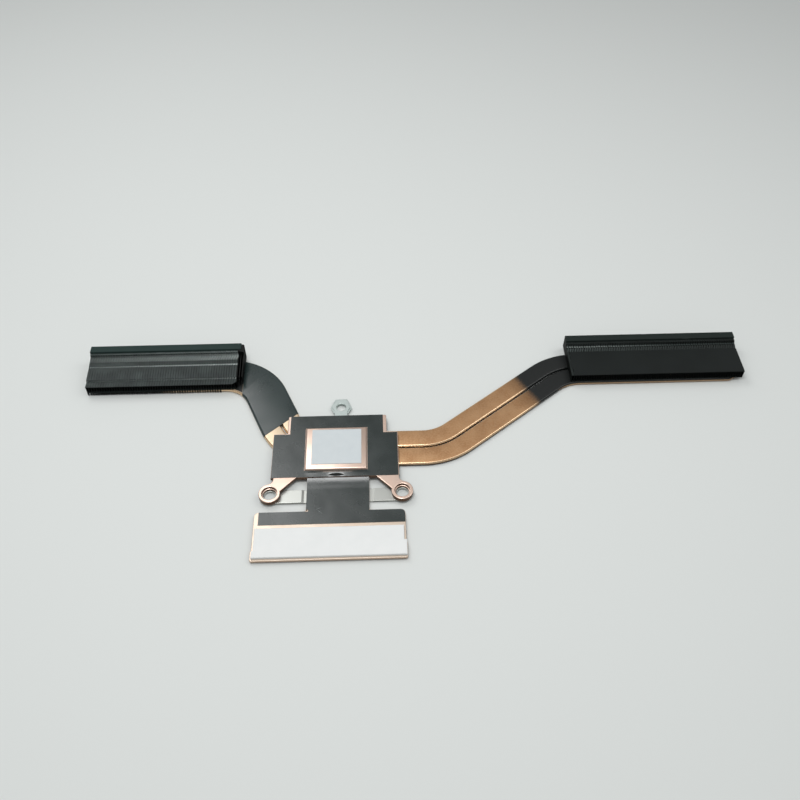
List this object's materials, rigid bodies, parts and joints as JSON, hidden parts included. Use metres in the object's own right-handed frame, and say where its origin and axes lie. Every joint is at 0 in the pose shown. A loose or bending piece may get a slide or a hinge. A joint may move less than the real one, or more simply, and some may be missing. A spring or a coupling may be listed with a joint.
{
  "type": "laptop heat pipe",
  "caption": "Flat laptop cooling module: a pair of pressed copper heat pipes bent between stepped fin stacks, with a cold plate and its contact pad in the middle and a padded side plate.",
  "frame": {"origin": "middle of the grey pad's top face, where the processor touches it", "axes": "+Z out of the grey pad's face, towards the processor; +X along the module to the longer fin stack; +Y to the side with the fin stacks"},
  "size_m": [0.2352, 0.0873, 0.0085],
  "materials": {
    "forged_copper": "bare copper, tarnished and satin",
    "sheet_copper": "bare copper sheet, satin",
    "pipe_copper": "brown copper, satin",
    "black_film": "satin polyester film",
    "pipe_film": "satin polyester film",
    "grey_pad": "matte phase-change compound",
    "white_pad": "matte silicone pad",
    "left_fins": "blackened copper, satin",
    "right_fins": "blackened copper, satin",
    "left_foam": "foam strip with a smooth skin",
    "right_foam": "foam strip with a smooth skin",
    "fin_tape": "satin tape",
    "lug_steel": "stamped steel, satin",
    "bar_steel": "spring steel, satin"
  },
  "bodies": {
    "root": {"cold_plate": "forged_copper", "plate_film": "black_film", "phase_change_pad": "grey_pad", "rear_heat_pipe": "pipe_copper", "front_heat_pipe": "pipe_copper", "left_pipe_film": "pipe_film", "left_fin_stack": "left_fins", "right_fin_stack": "right_fins", "left_foam_strip": "left_foam", "right_foam_strip": "right_foam", "right_fin_tape": "fin_tape", "rear_lug": "lug_steel", "spring_bar": "bar_steel", "vrm_plate": "sheet_copper", "vrm_film": "black_film", "vrm_pad": "white_pad"}
  },
  "joints": []
}
